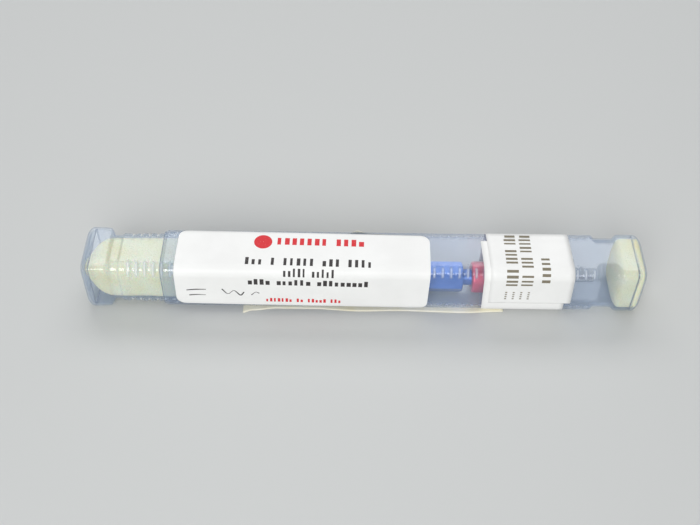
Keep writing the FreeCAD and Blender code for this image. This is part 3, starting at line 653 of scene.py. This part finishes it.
# Sheet of paper over the top and front: each end is cut back by a quarter circle at its
# corners, radius - sqrt(radius^2 - inset^2).
def makeMainLabel():
    left, right, radius = mainLabel["left"], mainLabel["right"], mainLabel["round"]
    middle = np.linspace(left + radius, right - radius, 60)
    bend = radius * (1 - np.cos(np.linspace(0, np.pi / 2, 12)))
    x = np.concatenate([left + bend[:-1], middle, right - bend[::-1][1:]])
    inset = np.clip(radius - np.minimum(x - left, right - x), 0, radius)
    cut = radius - np.sqrt(np.maximum(radius ** 2 - inset ** 2, 0))
    share = np.linspace(0, 1, 90)
    v = mainLabel["up"] + cut[:, None] + (
        mainLabel["down"] - mainLabel["up"] - 2 * cut[:, None]) * share
    grid = np.broadcast_to(x[:, None], v.shape)
    points = onLabel(grid, v, mainLabel["lift"], mainLabel)
    label = thicken(gridObject("mainLabelPaper", points), mainLabel["paper"])
    return finishPiece(label, whitePaper, "outer_case", "white_paper", "main_label")


# Printed marks: small patches (x from, x to, v from, v to) laid just above the paper.
def printMarks(name, marks, settings, ink, lift):
    marks = np.array(marks, float)
    across, along = np.linspace(0, 1, 3), np.linspace(0, 1, 7)
    x = marks[:, 0, None, None] + (marks[:, 1] - marks[:, 0])[:, None, None] * across[:, None]
    v = marks[:, 2, None, None] + (marks[:, 3] - marks[:, 2])[:, None, None] * along
    x, v = np.broadcast_arrays(x, v)
    points = onLabel(x, v, lift, settings)
    count = len(across) * len(along)
    cell = gridQuads(np.arange(count).reshape(len(across), len(along)))
    quads = cell + np.arange(len(marks))[:, None, None] * count
    obj = meshObject(name, points.reshape(-1, 3), quads.reshape(-1, 4))
    return finishPiece(obj, ink, "outer_case", "white_paper")


# A line of stand-in print: groups of short strokes of uneven width and height.
def strokeLine(left, right, top, bottom, groups, seed, fill, gap=0.9):
    rng = np.random.default_rng(seed)
    marks = []
    total = sum(groups) + gap * (len(groups) - 1)
    step = (right - left) / total
    x = left
    for group in groups:
        for _ in range(group):
            width = step * fill * rng.uniform(0.75, 1.1)
            shorter = (bottom - top) * rng.choice([0.0, 0.0, 0.28])
            marks.append((x, x + width, top + shorter, bottom))
            x += step
        x += gap * step
    return marks


# Plain disc of ink: rings of a circle about (x, v).
def inkDisc(name, x, v, radius, settings, ink, lift):
    angle = np.linspace(0, 2 * np.pi, 40, endpoint=False)
    reach = np.linspace(0.02, 1, 6)[:, None] * radius
    points = onLabel(x + reach * np.cos(angle), v + reach * np.sin(angle), lift, settings)
    disc = gridObject(name, points, wrap=True)
    return finishPiece(disc, ink, "outer_case", "white_paper")


# Pen strokes: ribbons along polylines smoothed by a running mean over 7 places, their width
# times 0.8 plus 0.3 of a sine along the stroke.
def penStrokes(name, strokes, settings, ink, lift, width=0.34):
    allPoints, allQuads, start = [], [], 0
    for number, stroke in enumerate(strokes):
        stroke = np.array(stroke, float)
        place = np.linspace(0, len(stroke) - 1, 10 * (len(stroke) - 1) + 1)
        x = np.interp(place, np.arange(len(stroke)), stroke[:, 0])
        v = np.interp(place, np.arange(len(stroke)), stroke[:, 1])
        kernel = np.ones(7) / 7
        x = np.convolve(np.pad(x, 3, mode="edge"), kernel, mode="valid")
        v = np.convolve(np.pad(v, 3, mode="edge"), kernel, mode="valid")
        dx, dv = np.gradient(x), np.gradient(v)
        size = np.hypot(dx, dv) + 1e-9
        press = width / 2 * (0.8 + 0.3 * np.sin(place * 1.9 + number))
        across = np.linspace(-1, 1, 3)[:, None]
        ribbonX, ribbonV = x - across * dv / size * press, v + across * dx / size * press
        points = onLabel(ribbonX, ribbonV, lift, settings)
        allPoints.append(points.reshape(-1, 3))
        allQuads.append(gridQuads(np.arange(3 * len(x)).reshape(3, -1) + start))
        start += 3 * len(x)
    obj = meshObject(name, np.concatenate(allPoints), np.concatenate(allQuads))
    return finishPiece(obj, ink, "outer_case", "white_paper")


def printMainLabel():
    settings = {
        "above": 0.012,
        "disc": (-36.0, -9.0, 2.3),
        # name, ink, (left, right, top, bottom), strokes in each group, seed, fill
        "lines": [
            ("labelHeading", redInk, (-32.4, -9.9, -10.5, -8.2), [7, 4], 3, 0.62),
            ("labelFirstLine", blackInk, (-40.0, -7.7, -3.7, -1.4), [3, 1, 5, 3, 4], 5, 0.5),
            ("labelSecondLine", blackInk, (-30.4, -17.2, -0.6, 1.5), [5, 5], 7, 0.5),
            ("labelThirdLine", blackInk, (-39.2, -8.7, 2.5, 4.6), [4, 6, 9], 9, 0.66),
            ("labelSmallLine", redInk, (-34.8, -15.5, 9.7, 11.1), [7, 2, 5, 3], 11, 0.6),
        ],
        "pen": [
            [(-55.0, 7.4), (-52.6, 7.0), (-49.6, 6.9)],
            [(-54.4, 9.3), (-52.2, 9.0), (-49.8, 9.1)],
            [(-46.0, 6.4), (-44.4, 8.8), (-42.8, 6.8), (-41.2, 9.2), (-40.2, 7.4)],
            [(-38.6, 8.8), (-37.4, 7.4), (-36.4, 8.0)],
        ],
    }
    lift = mainLabel["lift"] + mainLabel["paper"] + settings["above"]
    inkDisc("labelDisc", *settings["disc"], mainLabel, redInk, lift)
    for name, ink, place, groups, seed, fill in settings["lines"]:
        printMarks(name, strokeLine(*place, groups, seed, fill), mainLabel, ink, lift)
    penStrokes("penMarks", settings["pen"], mainLabel, blackInk, lift)


makeMainLabel()
printMainLabel()
print("main label made")


wrapLabel = {
    "left": 21.1,
    "width": 20.9,
    "drift": 0.029,     # sideways run per length wound
    "straightAt": -1.5,
    "from": -66.0,
    "to": 10.2,
    "lift": 0.05,
    "second": 0.13,     # rise of the second turn, from a little before the overlap
    "riseBefore": 1.5,
    "riseAfter": 1.0,
    "paper": 0.09,
}


# Place on the wound label: x drifts with the length wound, and the second turn rises
# onto the first.
def wrapPlace(x, v):
    turnLength = 8 * (tube["half"] - tube["corner"]) + 2 * math.pi * tube["corner"]
    overlap = wrapLabel["from"] + turnLength
    lift = wrapLabel["lift"] + wrapLabel["second"] * glide(v, [
        (overlap - wrapLabel["riseBefore"], 0), (overlap + wrapLabel["riseAfter"], 1),
        (wrapLabel["to"] + 1, 1),
    ])
    placedX = x + wrapLabel["drift"] * (v - wrapLabel["straightAt"])
    return placedX, lift


def makeWrapLabel():
    x = wrapLabel["left"] + wrapLabel["width"] * np.linspace(0, 1, 16)
    v = np.linspace(wrapLabel["from"], wrapLabel["to"], 320)
    x, v = np.broadcast_arrays(x[:, None], v)
    placedX, lift = wrapPlace(x, v)
    y, z = roundTube(v, lift)
    points = np.stack([placedX, y, z + tube["height"]], axis=-1)
    label = thicken(gridObject("wrapLabelPaper", points), wrapLabel["paper"])
    return finishPiece(label, whitePaper, "outer_case", "white_paper", "wrap_label")


# Rows of short bars on the wound label's second turn, laid straight, without its drift.
# The rows of a column run along the path, so here strokeLine gives their places on it.
def printWrapLabel():
    settings = {
        "turn": 0.0,
        "middle": 0.0,
        "above": 0.015,
        "rows": (-12.3, 4.2),
        "firstIndent": 0.3,
        "columns": [(25.1, 28.0, [3, 4, 4], 21), (28.9, 31.8, [5, 3, 3], 23)],
        "shortRows": (-4.6, 2.9),
        "shortColumn": (33.9, 36.0),
        "dotsX": (25.3, 27.2, 29.1, 31.0),
        "dotsV": (5.9, 6.7, 7.5, 8.3),
        "dot": (0.5, 0.4),
    }
    marks = []
    for left, right, groups, seed in settings["columns"]:
        for start, stop, _, _ in strokeLine(*settings["rows"], left, right, groups, seed, 0.5):
            indent = settings["firstIndent"] * (start == settings["rows"][0])
            marks.append((left + indent, right, start, stop))
    for start, stop, _, _ in strokeLine(*settings["shortRows"], 0, 1, [5], 25, 0.55):
        marks.append((*settings["shortColumn"], start, stop))
    wide, high = settings["dot"]
    for x in settings["dotsX"]:
        marks += [(x, x + wide, v, v + high) for v in settings["dotsV"]]
    lift = wrapLabel["lift"] + wrapLabel["second"] + wrapLabel["paper"] + settings["above"]
    printMarks("wrapPrint", marks, settings, greyInk, lift)


makeWrapLabel()
printWrapLabel()


# Flat old label: a strip whose loose edge wanders between knots and lifts by curl times
# the square of the way past 0.8 of its width.
def makeFlatLabel(name, node, settings):
    x = np.linspace(settings["knots"][0][0], settings["knots"][-1][0], 120)
    loose = glide(x, settings["knots"])
    share = np.linspace(0, 1, 24)
    across = settings["fast"] + (loose[:, None] - settings["fast"]) * share
    grid = np.broadcast_to(x[:, None], across.shape)
    curled = settings["curl"] * np.maximum(share - 0.8, 0) ** 2
    lift = np.broadcast_to(settings["lift"] + curled, grid.shape)
    if settings["standing"]:
        points = np.stack([grid, tube["half"] + lift, across], axis=-1)
    else:
        points = np.stack([grid, across, lift], axis=-1)
    label = thicken(gridObject(name, points), settings["paper"], 0)
    return finishPiece(label, creamPaper, "outer_case", "cream_paper", node)


underLow, underHigh = boxOf("under_label")
rearLow, rearHigh = boxOf("rear_label")
makeFlatLabel("underLabelPaper", "under_label", {
    "knots": [(underLow[0], -8.5), (underLow[0] + 2.4, -7.7), (underLow[0] + 8.5, -6.95),
              (underLow[0] + 18, -6.95), (underLow[0] + 30, -7.6), (underLow[0] + 40, -7.3),
              (underLow[0] + 57, -7.7), (underHigh[0], -7.2)],
    "fast": 6.0, "lift": 0.06, "curl": 1.5, "paper": 0.09, "standing": False,
})
makeFlatLabel("rearLabelPaper", "rear_label", {
    "knots": [(rearLow[0], 12.4), (-14.8, 12.9), (-12.0, 14.2), (-8.6, 13.2),
              (rearHigh[0], 12.2)],
    "fast": 3.3, "lift": 0.07, "curl": 0.0, "paper": 0.09, "standing": True,
})
print("labels made")


# Collet nut: a turned profile with crossed knurling, the radius dipping where
# two opposite spirals of grooves run.
def makeNut(name, node, body, material, slot, toward):
    settings = {
        "back": [(0.0, 2.5), (0.0, 3.55), (0.12, 3.85), (0.4, 4.05)],   # place, radius
        "radius": 4.05,
        "gripStart": 0.7,
        "gripGap": 0.3,
        "taper": 3.4,
        "front": [(3.4, 3.95), (1.2, 2.95), (0.15, 2.4), (0.0, 2.2), (0.0, 1.1)],   # to the end
        "knurl": 0.13,
        "knurlIn": (0.5, 0.9),
        "knurlOut": (0.5, 0.2),
        "lines": 30,
    }
    low, high = boxOf(node)
    length = high[0] - low[0]
    shoulder = length - settings["taper"]
    centre = (low[2] + high[2]) / 2
    grip = np.linspace(settings["gripStart"], shoulder - settings["gripGap"], 60)
    backPlace, backRadius = np.array(settings["back"]).T
    frontPlace, frontRadius = np.array(settings["front"]).T
    along = np.concatenate([backPlace, grip, length - frontPlace])
    radius = np.concatenate([backRadius, np.full(len(grip), settings["radius"]), frontRadius])
    angle = np.linspace(0, 2 * np.pi, 180, endpoint=False)
    a, b = along[:, None], angle[None, :]
    knurlIn, knurlOut = settings["knurlIn"], settings["knurlOut"]
    mask = glide(along, [(knurlIn[0], 0), (knurlIn[1], 1), (shoulder - knurlOut[0], 1),
                         (shoulder - knurlOut[1], 0)])[:, None]
    lines, lead = settings["lines"], settings["lines"] / settings["radius"]
    grooves = np.maximum(np.cos(lines * b + lead * a), np.cos(lines * b - lead * a))
    r = radius[:, None] - settings["knurl"] * mask * np.clip(grooves, 0, 1) ** 2
    start = low[0] if toward > 0 else high[0]
    x = np.broadcast_to(start + toward * a, r.shape)
    points = np.stack([x, r * np.cos(b), r * np.sin(b) + centre], axis=-1)
    nut = gridObject(name, points[:, ::toward], wrap=True)
    return finishPiece(nut, material, body, slot, node)


makeNut("noGoNut", "nogo_nut", "nogo_cap", redMetal, "red_aluminium", 1)
makeNut("goNut", "go_nut", "go_cap", greenMetal, "green_aluminium", -1)


def dressNode(node, material):
    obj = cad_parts[node]
    for slot in obj.material_slots:
        slot.material = material
    if not obj.material_slots:
        obj.data.materials.append(material)


for node, material in (
    ("handle", blueMetal), ("go_collet", brass), ("nogo_collet", brass),
    ("go_pin", steel), ("nogo_pin", steel),
):
    dressNode(node, material)
print("gauge dressed")


# From here on, lengths are in metres, apart from the camera's target and distance.
def makeStage():
    settings = {"size": 6.0, "colour": (0.60, 0.61, 0.60), "roughness": 0.5}
    s = settings["size"]
    mesh = bpy.data.meshes.new("floor")
    mesh.from_pydata([(-s, -s, 0), (s, -s, 0), (s, s, 0), (-s, s, 0)], [], [(0, 1, 2, 3)])
    floor = bpy.data.objects.new("floor", mesh)
    bpy.context.scene.collection.objects.link(floor)
    material, _, _, shader = newMaterial("paleFloor")
    shader.inputs["Base Color"].default_value = (*settings["colour"], 1)
    shader.inputs["Roughness"].default_value = settings["roughness"]
    mesh.materials.append(material)


def makeLight(name, place, size, power, aim):
    light = bpy.data.lights.new(name, "AREA")
    light.shape = "RECTANGLE"
    light.size, light.size_y = size
    light.energy = power
    obj = bpy.data.objects.new(name, light)
    bpy.context.scene.collection.objects.link(obj)
    obj.location = place
    toAim = Vector(aim) - Vector(place)
    obj.rotation_euler = toAim.to_track_quat("-Z", "Y").to_euler()


def makeLights():
    settings = {
        "aim": (-0.01, 0, 0.0075),
        "skyColour": (0.95, 0.97, 1.0),
        "skyStrength": 0.42,
        # name, place, size, power
        "lamps": [
            ("overhead", (-0.05, 0.0, 0.8), (0.6, 0.4), 0.5),
            ("behind", (0.0, 0.50, 0.56), (0.8, 0.3), 1.9),
            ("front", (-0.15, -0.62, 0.42), (0.5, 0.35), 3.3),
        ],
    }
    for name, place, size, power in settings["lamps"]:
        makeLight(name, place, size, power, settings["aim"])
    world = bpy.data.worlds.new("studio")
    bpy.context.scene.world = world
    world.use_nodes = True
    background = world.node_tree.nodes["Background"]
    background.inputs["Color"].default_value = (*settings["skyColour"], 1)
    background.inputs["Strength"].default_value = settings["skyStrength"]


def makeCamera():
    settings = {
        "azimuth": math.radians(-0.52),
        "elevation": math.radians(48.42),
        "roll": math.radians(1.1),
        "distance": 267.5,
        "target": (-13.8, 2.4, tube["height"]),
        "lens": 53.23,
        "sensor": 36,
        "nearest": 0.01,
    }
    azimuth, elevation = settings["azimuth"], settings["elevation"]
    away = Vector((math.sin(azimuth) * math.cos(elevation),
                   -math.cos(azimuth) * math.cos(elevation), math.sin(elevation)))
    right = Vector((0, 0, 1)).cross(away).normalized()
    up = away.cross(right)
    turn = settings["roll"]
    tiltedRight = right * math.cos(turn) + up * math.sin(turn)
    tiltedUp = up * math.cos(turn) - right * math.sin(turn)
    place = (Vector(settings["target"]) + away * settings["distance"]) * mm
    camera = bpy.data.cameras.new("camera")
    camera.lens = settings["lens"]
    camera.sensor_width = settings["sensor"]
    camera.clip_start = settings["nearest"]
    obj = bpy.data.objects.new("camera", camera)
    bpy.context.scene.collection.objects.link(obj)
    axes = Matrix((tiltedRight, tiltedUp, away)).transposed()
    obj.matrix_world = Matrix.Translation(place) @ axes.to_4x4()
    bpy.context.scene.camera = obj


makeStage()
makeLights()
makeCamera()
bpy.context.scene.view_settings.view_transform = "Standard"
print("stage, lights and camera made")
